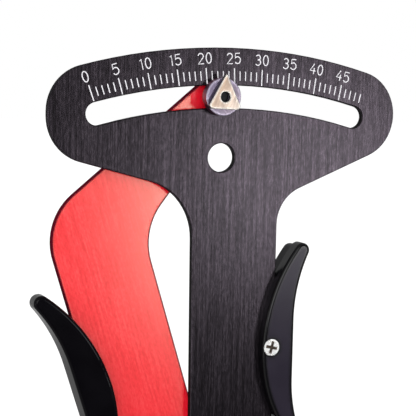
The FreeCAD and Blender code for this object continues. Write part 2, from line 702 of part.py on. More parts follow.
def pan_screw(label, x, z, seat, tip):
    """Pan-head screw that enters from the rear, with its head on the seat."""
    head = SIZE["pan_head_radius"]
    top = seat + SIZE["pan_head_height"]
    soft = SIZE["pan_head_height"] / 3
    body = new_body(label, x, z)
    revolve(body, [(0, top), (head - soft, top), (head, top - soft), (head, seat),
                   (SIZE["screw_radius"], seat), (SIZE["screw_radius"], tip), (0, tip)])
    cross_recess(body, top, -1, 0.0)


def grip_screws():
    """One screw through each grip: the right one enters from the front, the left one from the rear."""
    depth, cap = SIZE["grip_half_depth"], SIZE["grip_cap"] + SIZE["screw_clearance"]
    csk_screw("right_grip_screw", "sizes.right_grip_inner + sizes.grip_screw_inset",
              "sizes.right_grip_screw_height", -depth, depth - cap, SIZE["screw_cross_turn"])
    offset, height = "(sizes.left_grip_inner + sizes.grip_screw_inset)", "sizes.left_grip_screw_height"
    x = "-%s * cos(sizes.grip_lean * 1 deg) - %s * sin(sizes.grip_lean * 1 deg)" % (offset, height)
    z = "%s * cos(sizes.grip_lean * 1 deg) - %s * sin(sizes.grip_lean * 1 deg)" % (height, offset)
    middle = SIZE["arm_middle"]
    csk_screw("left_grip_screw", x, z, middle + depth, middle - depth + cap)


# ---------------------------------------------------------------- pivot

def pivot_bolt():
    """Shoulder bolt with a low head, so that the spoke passes in front of it."""
    wide, shoulder, thread = SIZE["bolt_head_radius"], SIZE["shoulder_radius"], SIZE["thread_radius"]
    seat, shoulder_end = SIZE["plate_front"], SIZE["shoulder_end"]
    end = SIZE["nut_seat"] + SIZE["nut_height"] + SIZE["thread_proud"]
    head = seat - SIZE["bolt_head_height"]
    soft = SIZE["bolt_head_height"] / 4
    point = thread / 5
    body = new_body("pivot_bolt")
    revolve(body, [(0, head), (wide - soft, head), (wide, head + soft), (wide, seat), (shoulder, seat),
                   (shoulder, shoulder_end), (thread, shoulder_end), (thread, end - point),
                   (thread - point, end), (0, end)])
    key_recess(body, hexagon(SIZE["bolt_key_flats"]), head, "bolt_key_depth")


def pivot_bush():
    """Flanged bush pressed in the arm; its flange is the thrust bearing against the plate."""
    bore, flange, radius = SIZE["shoulder_bore"], SIZE["bush_flange_radius"], SIZE["bush_radius"]
    front = SIZE["plate_rear"] + SIZE["running_clearance"]
    revolve(new_body("pivot_bush"), [
        (bore, front), (flange, front), (flange, SIZE["arm_front"]), (radius, SIZE["arm_front"]),
        (radius, SIZE["arm_rear"]), (bore, SIZE["arm_rear"])])


def ring(label, bore, radius, low, high, x="0", z="0"):
    """Plain washer or sleeve along Y."""
    revolve(new_body(label, x, z), [(bore, low), (radius, low), (radius, high), (bore, high)])


def pivot_nut():
    """Hexagon nut behind the washer."""
    body = new_body("pivot_nut")
    sketch = new_sketch(body, "XZ_Plane", hexagon(SIZE["nut_flats"]), "sizes.nut_seat")
    add_circle(sketch, flat(0, 0), "thread_radius")
    pad(body, sketch, "sizes.nut_height", True)


def pivot():
    pivot_bolt()
    pivot_bush()
    ring("pivot_washer", SIZE["thread_radius"] + SIZE["running_clearance"], SIZE["pivot_washer_radius"],
         SIZE["shoulder_end"], SIZE["nut_seat"])
    pivot_nut()


# ---------------------------------------------------------------- posts

def post_profile(base, shank_end=None):
    """Grooved post from its base to its head; the moving one has a slimmer shank through the plate."""
    radius, groove = SIZE["post_radius"], SIZE["post_groove_radius"]
    middle, front = SIZE["spoke_level"], SIZE["post_front"]
    floor, mouth = SIZE["groove_floor"] / 2, SIZE["groove_mouth"] / 2
    broken = SIZE["post_chamfer"]
    screw = SIZE["screw_radius"]
    depth = base - SIZE["post_screw_depth"]
    profile = [(screw, base), (screw, depth), (0, depth), (0, front), (radius - broken, front),
               (radius, front + broken), (radius, middle - mouth), (groove, middle - floor),
               (groove, middle + floor), (radius, middle + mouth)]
    if shank_end is None:
        return profile + [(radius, base)]
    return profile + [(radius, shank_end), (SIZE["moving_post_shank"], shank_end),
                      (SIZE["moving_post_shank"], base)]


def posts():
    """Two posts on the plate's foot and one on the arm, each held by a screw from the rear."""
    fixed = (("left", "-sizes.post_left_offset"), ("right", "sizes.post_right_offset"))
    for side, x in fixed:
        z = "-sizes.post_drop"
        revolve(new_body("fixed_post_" + side, x, z), post_profile(SIZE["plate_front"]))
        pan_screw("fixed_post_screw_" + side, x, z, SIZE["plate_rear"],
                  SIZE["plate_front"] - SIZE["post_screw_depth"] + SIZE["screw_clearance"])
    x = "-sizes.moving_post_offset"
    shank_end = SIZE["plate_front"] - SIZE["slide_clearance"]
    revolve(new_body("moving_post", x), post_profile(SIZE["arm_front"], shank_end))
    pan_screw("moving_post_screw", x, "0", SIZE["arm_rear"],
              SIZE["arm_front"] - SIZE["post_screw_depth"] + SIZE["screw_clearance"])


# ---------------------------------------------------------------- pointer group

def pointer():
    """Flat triangle with a hole on the pin's axis."""
    tilt = SIZE["pointer_tilt"]
    top = flat(0, SIZE["pointer_tip_reach"])
    right = flat(SIZE["pointer_half_base"], -SIZE["pointer_base_reach"])
    left = flat(-SIZE["pointer_half_base"], -SIZE["pointer_base_reach"])
    corners = [(top, SIZE["pointer_tip_radius"]), (right, SIZE["pointer_corner_radius"]),
               (left, SIZE["pointer_corner_radius"])]
    outline = rounded_polygon([(turned_clockwise(point, tilt), radius) for point, radius in corners])
    body = new_body("pointer", PIN_X, PIN_Z)
    sketch = new_sketch(body, "XZ_Plane", outline, "sizes.disc_front")
    add_circle(sketch, flat(0, 0), "pointer_hole_radius")
    slab = pad(body, sketch, "sizes.pointer_thickness")
    faces = faces_at(slab.Shape, SIZE["pointer_front"])
    break_edges(body, slab, "Chamfer", faces, "Size", "pointer_chamfer")


def pointer_group():
    """Disc, bush and washer that slide in and on the plate, clamped to the arm by one screw."""
    hole = SIZE["screw_hole_radius"]
    rear, front = SIZE["disc_rear"], SIZE["disc_front"]
    radius, broken = SIZE["disc_radius"], SIZE["disc_chamfer"]
    revolve(new_body("slide_disc", PIN_X, PIN_Z), [
        (hole, rear), (radius - broken, rear), (radius, rear - broken), (radius, front + broken),
        (radius - broken, front), (hole, front)])
    ring("slide_bush", hole, SIZE["slide_bush_radius"], rear, SIZE["arm_front"], PIN_X, PIN_Z)
    ring("slide_washer", SIZE["slot_half_width"], SIZE["slide_washer_radius"],
         SIZE["plate_rear"] + SIZE["slide_clearance"], SIZE["arm_front"], PIN_X, PIN_Z)
    pointer()
    seat = SIZE["arm_rear"] + SIZE["lock_washer_thickness"]
    ring("pointer_lock_washer", hole, SIZE["lock_washer_radius"], SIZE["arm_rear"], seat, PIN_X, PIN_Z)
    pan_screw("pointer_screw", PIN_X, PIN_Z, seat, front - SIZE["screw_clearance"])


# ---------------------------------------------------------------- return spring

def anchor(label, x, base, face, bore_alias):
    """Post behind the metal with a cross bore on the spring's axis, and its screw from the front."""
    radius, broken = SIZE["anchor_radius"], SIZE["anchor_chamfer"]
    screw = SIZE["screw_radius"]
    depth = SIZE["spring_level"] - SIZE[bore_alias] - SIZE["anchor_web"]
    rear = SIZE["anchor_rear"]
    body = new_body(label, x, "sizes.spring_height")
    revolve(body, [(screw, base), (radius, base), (radius, rear - broken), (radius - broken, rear),
                   (0, rear), (0, depth), (screw, depth)])
    bore = along_x(body, [], radius)
    add_circle(bore, flat(SIZE["spring_level"], 0), bore_alias)
    pocket(body, bore, "2 * sizes.anchor_radius")
    csk_screw(label.replace("spring_anchor", "anchor_screw"), x, "sizes.spring_height", face,
              depth - SIZE["screw_clearance"])


def seat_faces():
    """Along X from the pivot axis: the arm seat's anchor side and spring side, then the plate seat's."""
    arm_back = -SIZE["arm_anchor_offset"] + SIZE["anchor_radius"]
    plate_back = SIZE["plate_anchor_offset"] - SIZE["anchor_radius"] - SIZE["seat_gap"]
    thickness = SIZE["seat_thickness"]
    return arm_back, arm_back + thickness, plate_back - thickness, plate_back


def spring_seats():
    """Seats that carry the spring's ends on a nose, one in the arm's anchor and one on the screw."""
    arm_back, arm_face, plate_face, plate_back = seat_faces()
    flange, nose, reach = SIZE["seat_radius"], SIZE["seat_nose_radius"], SIZE["seat_nose_length"]
    stem = SIZE["seat_stem_radius"]
    root = arm_back - SIZE["seat_stem_length"]
    revolve(new_body("arm_spring_seat", "0", "sizes.spring_height", "sizes.spring_level"), [
        (root, 0), (root, stem), (arm_back, stem), (arm_back, flange), (arm_face, flange),
        (arm_face, nose), (arm_face + reach, nose), (arm_face + reach, 0)], "H_Axis")
    socket = SIZE["calibration_radius"] + SIZE["running_clearance"]
    depth = plate_back - SIZE["calibration_tip"]
    revolve(new_body("plate_spring_seat", "0", "sizes.spring_height", "sizes.spring_level"), [
        (plate_back, socket), (plate_back, flange), (plate_face, flange), (plate_face, nose),
        (plate_face - reach, nose), (plate_face - reach, 0), (depth, 0), (depth, socket)], "H_Axis")


def return_spring():
    """Coil spring along X between the two seats."""
    faces = seat_faces()
    wire = SIZE["spring_wire_radius"]
    first, last = faces[1] + wire, faces[2] - wire
    body = new_body("return_spring", "0", "sizes.spring_height", "sizes.spring_level")
    section = new_sketch(body, "XY_Plane", [])
    section.addGeometry(Part.Circle(FreeCAD.Vector(first, SIZE["spring_radius"], 0),
                                    FreeCAD.Vector(0, 0, 1), wire), False)
    coil = body.newObject("PartDesign::AdditiveHelix", "return_spring_coil")
    coil.Profile = section
    coil.ReferenceAxis = (section, ["H_Axis"])
    coil.Mode = "height-turns-angle"
    coil.Height = last - first
    coil.setExpression("Turns", "sizes.spring_turns")
    doc.recompute()


def calibration_screw():
    """Set screw with a hexagon socket head, threaded through the plate's anchor into the seat."""
    plate_back = seat_faces()[3]
    tip = plate_back - SIZE["calibration_tip"]
    outside = SIZE["plate_anchor_offset"] + SIZE["anchor_radius"]
    head = outside + SIZE["lock_nut_height"] + SIZE["calibration_proud"]
    end = head + SIZE["calibration_head_length"]
    radius, wide = SIZE["calibration_radius"], SIZE["calibration_head_radius"]
    body = new_body("calibration_screw", "0", "sizes.spring_height", "sizes.spring_level")
    revolve(body, [(tip, 0), (tip, radius), (head, radius), (head, wide), (end, wide), (end, 0)], "H_Axis")
    socket = hexagon(SIZE["calibration_key_flats"])
    pocket(body, along_x(body, socket, end), "sizes.calibration_key_depth")


def lock_nut():
    """Hexagon nut that holds the calibration screw against the anchor."""
    body = new_body("calibration_lock_nut", "0", "sizes.spring_height", "sizes.spring_level")
    place = SIZE["plate_anchor_offset"] + SIZE["anchor_radius"]
    sketch = along_x(body, hexagon(SIZE["lock_nut_flats"]), place)
    add_circle(sketch, flat(0, 0), "calibration_radius")
    pad(body, sketch, "sizes.lock_nut_height")


def spring_group():
    anchor("arm_spring_anchor", "-sizes.arm_anchor_offset", SIZE["arm_rear"], SIZE["arm_front"],
           "seat_stem_radius")
    anchor("plate_spring_anchor", "sizes.plate_anchor_offset", SIZE["plate_rear"], SIZE["plate_front"],
           "calibration_radius")
    spring_seats()
    return_spring()
    calibration_screw()
    lock_nut()


# ---------------------------------------------------------------- check and export

def check_document():
    """Stop if any feature failed or any sub-part is empty, invalid or split."""
    doc.recompute()
    for item in doc.Objects:
        if "Invalid" in item.State or "Error" in item.State:
            raise RuntimeError(item.Name + " failed")
    for body in PARTS:
        if body.Shape.isNull() or not body.Shape.isValid():
            raise RuntimeError(body.Label + " has no valid shape")
        if len(body.Shape.Solids) != 1:
            raise RuntimeError(body.Label + " is not one solid")


def export():
    os.makedirs("parts", exist_ok=True)
    for body in PARTS:
        body.Shape.exportStep("parts/%s.step" % body.Label)
        print("%-22s %9.2f mm3" % (body.Label, body.Shape.Volume))


fill_sheet()
scale_plate()
lever_arm()
grips()
grip_screws()
pivot()
posts()
pointer_group()
spring_group()
check_document()
export()
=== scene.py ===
import json
import math

import bmesh
import bpy
from mathutils import Matrix, Quaternion, Vector


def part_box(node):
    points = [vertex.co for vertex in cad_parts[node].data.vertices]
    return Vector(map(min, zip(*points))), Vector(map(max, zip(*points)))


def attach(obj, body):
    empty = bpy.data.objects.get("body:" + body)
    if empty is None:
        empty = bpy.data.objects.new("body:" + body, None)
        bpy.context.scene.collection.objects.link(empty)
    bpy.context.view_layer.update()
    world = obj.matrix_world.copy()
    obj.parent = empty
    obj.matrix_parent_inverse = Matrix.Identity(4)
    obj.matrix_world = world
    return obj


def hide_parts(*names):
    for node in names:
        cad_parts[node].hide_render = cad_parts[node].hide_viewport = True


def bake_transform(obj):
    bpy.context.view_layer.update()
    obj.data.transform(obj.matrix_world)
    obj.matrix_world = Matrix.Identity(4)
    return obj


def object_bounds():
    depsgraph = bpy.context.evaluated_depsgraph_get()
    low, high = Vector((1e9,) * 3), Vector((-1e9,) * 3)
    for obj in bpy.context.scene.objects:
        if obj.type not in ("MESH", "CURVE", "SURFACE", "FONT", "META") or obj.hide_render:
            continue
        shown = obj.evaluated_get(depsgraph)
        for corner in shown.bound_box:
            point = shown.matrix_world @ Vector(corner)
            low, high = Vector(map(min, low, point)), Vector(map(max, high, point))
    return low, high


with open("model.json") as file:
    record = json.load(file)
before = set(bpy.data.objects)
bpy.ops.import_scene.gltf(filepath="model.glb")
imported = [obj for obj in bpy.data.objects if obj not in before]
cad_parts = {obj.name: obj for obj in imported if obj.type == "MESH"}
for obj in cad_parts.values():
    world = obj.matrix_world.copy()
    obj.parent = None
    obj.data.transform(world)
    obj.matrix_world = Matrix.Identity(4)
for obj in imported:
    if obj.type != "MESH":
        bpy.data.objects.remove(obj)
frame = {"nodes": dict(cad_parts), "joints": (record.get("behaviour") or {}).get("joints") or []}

# Spoke tension meter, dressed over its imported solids. Metres, +Z up the stem, -Y towards the reader.

CAD_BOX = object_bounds()
MM = 0.001
PIVOT = Vector(frame["joints"][0]["pos_m"])

# Printed scale, about the pivot axis, in millimetres and degrees clockwise from straight up.
TICK_STEP = 0.63
MIDDLE_TICK = 24.4
TICK_COUNT = 50
NUMBERED_STEP = 5
LONG_TICK = (172.3, 177.4, 0.36)
SHORT_TICK = (173.5, 176.4, 0.33)
MARK_RADIUS = 174.9
MARK_LEAN = -3.0
MARK_FAN = 1.1
NUMBER_RADIUS = 180.45
NUMBER_SAG = 0.0012
NUMBER_SHIFT = -0.2
DIGIT_HEIGHT = 3.25
DIGIT_PITCH = 2.7
NARROW_PITCH = 1.7
STROKE_WIDTH = 0.35
PRINT_THICKNESS = 0.02

# Surfaces. Brush lines have noise scales across, through and along the sheet, for fine and for long lines.
# A relief has its strength and its depth in metres.
PLATE_LINES = ((3000, 300, 600), (2400, 300, 45))
ARM_LINES = ((2100, 300, 900), (1700, 300, 90))
ARM_LINE_TURN = 17.3
ARM_TIP = 0.011
LINE_RELIEF = (0.3, 0.03 * MM)
WALL_ROUGHNESS = 0.7
MARK_RELIEF = (0.08, 0.02 * MM)
MOULD_RELIEF = (0.05, 0.02 * MM)
MOULD_GRAIN = (4500, 4500, 4500)

# Edges: reach of the rounding that finds them, and the limits between edge and open face. The sheets paint
# shade on their edges, ground metal paints a highlight and shade there, and the grip's painted sheen stops
# short of them.
PLATE_EDGE = (0.1 * MM, 0.5, 0.65)
ARM_EDGE = (1.2 * MM, 0.95, 0.99)
GRIP_EDGE = (2.6 * MM, 0.975, 0.995)
GROUND_EDGE = (1.4 * MM, 0.94, 0.985)

# Painted shade of the cross recess on the grip and post screws; the painted cross reaches a little past
# the recess onto the head.
RECESS_HALF_WIDTH = 0.44 * MM
RECESS_HALF_LENGTH = 1.95 * MM
RECESS_DEPTH = 1.2 * MM
RECESS_SOFTNESS = 0.1 * MM

# Return spring.
WIRE_RADIUS = 0.6 * MM
SPRING_TURNS = 9
STEPS_PER_TURN = 28
WIRE_SEGMENTS = 12
CLOSED_PITCH = 2.02 * WIRE_RADIUS

# Camera, and the way in which the flat faces mirror its view.
CAMERA_PLACE = (-0.16206, -0.37614, 0.02287)
CAMERA_LOOK = (0.38618, 0.91750, -0.09520)
CAMERA_ROLL = 1.3175
LENS_LENGTH = 110.98
SENSOR_WIDTH = 36
MIRRORED_WAY = (0.388, -0.914, -0.105)

# Studio walls: light off to the sides of that way and light in it, and how directly each way faces it.
ROOM_LIGHT = (1.35, 0.03, 0.81, 0.89)
MIRRORED_LIGHT = (0.30, 0.03, 0.45, 0.75)

# Lamps: degrees to the right, degrees up, metres away, width and height, radiance.
LAMP_TARGET = Vector((0.0, 0.0, -0.06))
SOFTBOXES = {
    "front_softbox": (28.6, -2.2, 2.0, (0.44, 0.38), 6.8),
    "left_strip": (-67.5, -3.0, 1.0, (0.08, 0.4), 4.5),
    "left_fill": (-22.0, 12.0, 2.0, (1.0, 1.0), 3.0),
}

# Floor: below the foot, metres from the middle to its centre, half width and half depth, its glow.
FLOOR_GAP = 4 * MM
FLOOR_CENTRE = 2.9
FLOOR_REACH = (4, 3)
FLOOR_GLOW = 0.82


# ---------------------------------------------------------------- mesh helpers

def new_piece(name, bm, material):
    """Turn a bmesh into an object with one material."""
    mesh = bpy.data.meshes.new(name)
    bm.to_mesh(mesh)
    bm.free()
    piece = bpy.data.objects.new(name, mesh)
    bpy.context.scene.collection.objects.link(piece)
    mesh.materials.append(material)
    return piece


def finish_mesh(name, bm, material, body):
    """Turn a bmesh into a piece that rides on a body."""
    piece = new_piece(name, bm, material)
    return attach(piece, body)


def shade_smooth(piece, angle):
    """Smooth shading that keeps edges sharper than this angle, in degrees."""
    for polygon in piece.data.polygons:
        polygon.use_smooth = True
    piece.data.set_sharp_from_angle(angle=math.radians(angle))


# ---------------------------------------------------------------- shader nodes

def add_node(tree, kind, **settings):
    """New node with these settings."""
    node = tree.nodes.new(kind)
    for name, value in settings.items():
        setattr(node, name, value)
    return node


def own_place(tree):
    """The piece's own coordinates."""
    return add_node(tree, "ShaderNodeTexCoord").outputs["Object"]


def combine(tree, operation, first, second):
    """One operation on two values."""
    node = add_node(tree, "ShaderNodeMath", operation=operation)
    tree.links.new(first, node.inputs[0])
    tree.links.new(second, node.inputs[1])
    return node.outputs["Value"]


def magnitude(tree, value):
    """A value without its sign."""
    node = add_node(tree, "ShaderNodeMath", operation="ABSOLUTE")
    tree.links.new(value, node.inputs[0])
    return node.outputs["Value"]


def part_of(tree, vector, axis):
    """A vector's X, Y or Z."""
    node = add_node(tree, "ShaderNodeSeparateXYZ")
    tree.links.new(vector, node.inputs["Vector"])
    return node.outputs[axis]


def reach_along(tree, vector, axis):
    """How far a vector reaches along an axis."""
    node = add_node(tree, "ShaderNodeVectorMath", operation="DOT_PRODUCT")
    node.inputs[1].default_value = axis
    tree.links.new(vector, node.inputs[0])
    return node.outputs["Value"]


def offset_from(tree, middle):
    """The piece's own coordinates, measured from a place."""
    node = add_node(tree, "ShaderNodeVectorMath", operation="SUBTRACT")
    node.inputs[1].default_value = middle
    tree.links.new(own_place(tree), node.inputs[0])
    return node.outputs["Vector"]


def change_space(tree, vector, kind, source, target):
    """A vector or normal, turned from one space to another."""
    node = add_node(tree, "ShaderNodeVectorTransform", vector_type=kind, convert_from=source,
                    convert_to=target)
    tree.links.new(vector, node.inputs["Vector"])
    return node.outputs["Vector"]


def noise(tree, scale, turn=0.0, detail=2.0):
    """Noise on the piece's own coordinates, stretched along its axes and turned about Y, in degrees."""
    turned = add_node(tree, "ShaderNodeMapping", vector_type="POINT")
    turned.inputs["Rotation"].default_value = (0, math.radians(turn), 0)
    stretched = add_node(tree, "ShaderNodeMapping", vector_type="POINT")
    stretched.inputs["Scale"].default_value = scale
    pattern = add_node(tree, "ShaderNodeTexNoise")
    pattern.inputs["Scale"].default_value = 1.0
    pattern.inputs["Detail"].default_value = detail
    pattern.inputs["Roughness"].default_value = 0.5
    tree.links.new(own_place(tree), turned.inputs["Vector"])
    tree.links.new(turned.outputs["Vector"], stretched.inputs["Vector"])
    tree.links.new(stretched.outputs["Vector"], pattern.inputs["Vector"])
    return pattern.outputs["Fac"]


def ramp(tree, value, stops):
    """Colour ramp over (position, colour) stops."""
    node = add_node(tree, "ShaderNodeValToRGB")
    elements = node.color_ramp.elements
    while len(elements) < len(stops):
        elements.new(0.5)
    for element, (position, colour) in zip(elements, stops):
        element.position = position
        element.color = (*colour, 1)
    tree.links.new(value, node.inputs["Fac"])
    return node.outputs["Color"]


def spread(tree, value, low, high, start=0.3, end=0.7):
    """The values from start to end, spread over low to high."""
    node = add_node(tree, "ShaderNodeMapRange")
    node.inputs["From Min"].default_value = start
    node.inputs["From Max"].default_value = end
    node.inputs["To Min"].default_value = low
    node.inputs["To Max"].default_value = high
    tree.links.new(value, node.inputs["Value"])
    return node.outputs["Result"]


def mix_values(tree, factor, first, second):
    """Value from first to second by the factor; each is a plain number or a socket."""
    node = add_node(tree, "ShaderNodeMix", data_type="FLOAT")
    for key, value in (("Factor", factor), ("A", first), ("B", second)):
        if isinstance(value, float):
            node.inputs[key].default_value = value
        else:
            tree.links.new(value, node.inputs[key])
    return node.outputs["Result"]


def mix_colours(tree, factor, first, second):
    """Colour from first to second by the factor; each is a plain colour or a socket."""
    node = add_node(tree, "ShaderNodeMix", data_type="RGBA")
    sockets = {socket.identifier: socket for socket in node.inputs}
    tree.links.new(factor, sockets["Factor_Float"])
    for key, colour in (("A_Color", first), ("B_Color", second)):
        if isinstance(colour, tuple):
            sockets[key].default_value = (*colour, 1)
        else:
            tree.links.new(colour, sockets[key])
    return [socket for socket in node.outputs if socket.identifier == "Result_Color"][0]


def facing_share(tree, normal, start, end):
    """1 where a normal runs along Y, 0 where it turns away from it."""
    return spread(tree, magnitude(tree, part_of(tree, normal, "Y")), 0, 1, start, end)


def flat_face_mask(tree, start, end):
    """1 on the flat faces square to Y, 0 on walls and broken edges."""
    normal = add_node(tree, "ShaderNodeTexCoord").outputs["Normal"]
    return facing_share(tree, normal, start, end)


def open_face_mask(tree, reach, start, end):
    """1 on the flat faces square to Y, 0 on walls and beside an edge, as far as the rounding reaches."""
    rounded = add_node(tree, "ShaderNodeBevel", samples=8)
    rounded.inputs["Radius"].default_value = reach
    normal = change_space(tree, rounded.outputs["Normal"], "NORMAL", "WORLD", "OBJECT")
    return facing_share(tree, normal, start, end)


# ---------------------------------------------------------------- finishes

def new_finish(name, metallic, roughness, specular=0.5):
    """Empty finish with its uniform values on the shader's own sockets."""
    material = bpy.data.materials.new(name)
    material.use_nodes = True
    shader = material.node_tree.nodes["Principled BSDF"]
    shader.inputs["Metallic"].default_value = metallic
    shader.inputs["Roughness"].default_value = roughness
    shader.inputs["Specular IOR Level"].default_value = specular
    return material, material.node_tree, shader


def bump(tree, shader, height, strength, distance):
    """Fine relief on a finish."""
    node = add_node(tree, "ShaderNodeBump")
    node.inputs["Strength"].default_value = strength
    node.inputs["Distance"].default_value = distance
    tree.links.new(height, node.inputs["Height"])
    tree.links.new(node.outputs["Normal"], shader.inputs["Normal"])


def draw_out(tree, shader, turn, amount):
    """Highlights drawn out across brush lines that run along Z turned about Y, in degrees."""
    across = add_node(tree, "ShaderNodeCombineXYZ")
    across.inputs["X"].default_value = math.cos(math.radians(turn))
    across.inputs["Z"].default_value = math.sin(math.radians(turn))
    tangent = change_space(tree, across.outputs["Vector"], "VECTOR", "OBJECT", "WORLD")
    tree.links.new(tangent, shader.inputs["Tangent"])
    shader.inputs["Anisotropic"].default_value = amount


def tip_back(tree, shader, slope):
    """Faces that catch the light as if tipped back by this slope, under the finish's own relief."""
    tipped = add_node(tree, "ShaderNodeBump", invert=True)
    tipped.inputs["Strength"].default_value = 1.0
    tipped.inputs["Distance"].default_value = slope
    tree.links.new(part_of(tree, own_place(tree), "Z"), tipped.inputs["Height"])
    relief = shader.inputs["Normal"].links[0].from_node
    tree.links.new(tipped.outputs["Normal"], relief.inputs["Normal"])


def brushed_sheet(name, stops, painted_wall_shade, metallic, roughness, turn, line_scales, edge):
    """Anodised sheet: brush lines along Z (turned about Y) on its faces, and dull walls and edges that
    carry a painted shade in the wall colour.
    """
    material, tree, shader = new_finish(name, metallic, roughness[0])
    fine, drawn = [noise(tree, scale, turn, 1) for scale in line_scales]
    lines = mix_values(tree, 0.5, fine, drawn)
    mask = open_face_mask(tree, *edge)
    # Painted shade: the walls and a band beside each edge take the dark wall colour.
    colour = mix_colours(tree, mask, painted_wall_shade, ramp(tree, lines, stops))
    satin = spread(tree, lines, roughness[0], roughness[1])
    tree.links.new(colour, shader.inputs["Base Color"])
    tree.links.new(spread(tree, mask, 0.0, 0.5, 0, 1), shader.inputs["Specular IOR Level"])
    tree.links.new(mix_values(tree, mask, WALL_ROUGHNESS, satin), shader.inputs["Roughness"])
    bump(tree, shader, lines, *LINE_RELIEF)
    return material, tree, shader


def plate_finish():
    """Black anodised aluminium, brushed up and down the stem."""
    stops = [(0.32, (0.017, 0.014, 0.017)), (0.5, (0.038, 0.031, 0.039)), (0.68, (0.080, 0.066, 0.081))]
    # The wall colour is a painted shade on the plate's walls and edges.
    material, tree, shader = brushed_sheet("black_anodised_plate", stops, painted_wall_shade=(0.008, 0.007, 0.008),
                                           metallic=0.85, roughness=(0.23, 0.265), turn=0.0,
                                           line_scales=PLATE_LINES, edge=PLATE_EDGE)
    draw_out(tree, shader, turn=0.0, amount=0.33)
    return material


def arm_finish():
    """Red anodised aluminium, brushed along the arm's lower length, under a clear seal."""
    stops = [(0.32, (0.88, 0.001, 0.016)), (0.5, (0.99, 0.003, 0.024)), (0.68, (1.0, 0.012, 0.036))]
    # The wall colour is a painted shade on the arm's walls and edges.
    material, tree, shader = brushed_sheet("red_anodised_arm", stops, painted_wall_shade=(0.07, 0.004, 0.010),
                                           metallic=0.0, roughness=(0.195, 0.245), turn=ARM_LINE_TURN,
                                           line_scales=ARM_LINES, edge=ARM_EDGE)
    tip_back(tree, shader, ARM_TIP)
    shader.inputs["IOR"].default_value = 2.70
    shader.inputs["Specular Tint"].default_value = (1.0, 1.0, 0.78, 1)
    return material


def cast_plastic(name, colour, roughness, specular=0.5):
    """Moulded plastic with a very fine grain."""
    material, tree, shader = new_finish(name, 0.0, roughness[0], specular)
    cloud = noise(tree, (120, 120, 120), 0, 3)
    pale = tuple(1.35 * part for part in colour)
    tree.links.new(ramp(tree, cloud, [(0.35, colour), (0.7, pale)]), shader.inputs["Base Color"])
    tree.links.new(spread(tree, cloud, roughness[0], roughness[1]), shader.inputs["Roughness"])
    bump(tree, shader, noise(tree, MOULD_GRAIN), *MOULD_RELIEF)
    return material


def satin_face_plastic(name, rim, face):
    """Moulded plastic whose flat face carries a painted sheen, paler than its rim."""
    material, tree, shader = new_finish(name, 0.0, 0.19)
    cloud = noise(tree, (90, 90, 90), 0, 3)
    flat = open_face_mask(tree, *GRIP_EDGE)
    # Painted sheen: the open face is paler than the rim, mottled.
    mottled = ramp(tree, cloud, [(0.3, tuple(0.85 * part for part in face)), (0.7, face)])
    tree.links.new(mix_colours(tree, flat, rim, mottled), shader.inputs["Base Color"])
    tree.links.new(spread(tree, flat, 0.4, 0.19, 0, 1), shader.inputs["Specular IOR Level"])
    tree.links.new(spread(tree, cloud, 0.17, 0.21), shader.inputs["Roughness"])
    bump(tree, shader, noise(tree, MOULD_GRAIN), *MOULD_RELIEF)
    return material


def machined_metal(name, dark, light, roughness, scale):
    """Bare or plated metal with machining marks, which a scale can stretch along one of its axes."""
    material, tree, shader = new_finish(name, 1.0, roughness[0])
    marks = noise(tree, scale)
    tree.links.new(ramp(tree, marks, [(0.3, dark), (0.7, light)]), shader.inputs["Base Color"])
    tree.links.new(spread(tree, marks, roughness[0], roughness[1]), shader.inputs["Roughness"])
    bump(tree, shader, marks, *MARK_RELIEF)
    return material


def slant(tree, middle, reach):
    """0 at the upper left of a place to 1 at its lower right, over this reach in metres, for a painted
    sheen.
    """
    along = reach_along(tree, offset_from(tree, middle), (0.8, 0, -0.6))
    return spread(tree, along, 0, 1, -reach, reach)


def edged_metal(name, node, faces, edge, painted_wall_shade, roughness, scale, turn):
    """Ground metal with a painted sheen that pales across its face from upper left to lower right, a
    painted highlight on its broken edge and a painted shade on its wall.
    """
    material, tree, shader = new_finish(name, 1.0, roughness[0])
    low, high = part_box(node)
    marks = noise(tree, scale, turn)
    # Painted sheen: the face goes from the first colour at the upper left to the paler second at the lower
    # right.
    pale = mix_colours(tree, slant(tree, (low + high) / 2, (high.x - low.x) / 2), faces[0], faces[1])
    face = mix_colours(tree, spread(tree, marks, 0, 0.3), pale, tuple(0.6 * part for part in faces[1]))
    # Painted highlight on the broken edge and painted shade on the wall.
    rim = mix_colours(tree, flat_face_mask(tree, 0.35, 0.6), painted_wall_shade, edge)
    colour = mix_colours(tree, open_face_mask(tree, *GROUND_EDGE), rim, face)
    tree.links.new(colour, shader.inputs["Base Color"])
    tree.links.new(spread(tree, marks, roughness[0], roughness[1]), shader.inputs["Roughness"])
    bump(tree, shader, marks, *MARK_RELIEF)
    return material


def within(tree, value, limit):
    """1 up to a limit, 0 just past it."""
    return spread(tree, value, 1, 0, limit, limit + RECESS_SOFTNESS)


def screw_recess(tree, node, end, turn):
    """1 where the recess shade is painted: a cross over the recess of a screw along Y whose head is at its
    low (-1) or high (1) end, and a little past it.
    """
    low, high = [Vector(map(extreme, zip(*node.bound_box))) for extreme in (min, max)]
    middle = (low + high) / 2
    offset = offset_from(tree, (middle.x, high.y if end > 0 else low.y, middle.z))
    side, rise = math.sin(math.radians(turn)), math.cos(math.radians(turn))
    axes = ((side, 0, rise), (rise, 0, -side), (0, 1, 0))
    along, across, down = [magnitude(tree, reach_along(tree, offset, axis)) for axis in axes]
    narrow = within(tree, combine(tree, "MINIMUM", along, across), RECESS_HALF_WIDTH)
    short = within(tree, combine(tree, "MAXIMUM", along, across), RECESS_HALF_LENGTH)
    cross = combine(tree, "MULTIPLY", narrow, short)
    return combine(tree, "MULTIPLY", within(tree, down, RECESS_DEPTH), cross)


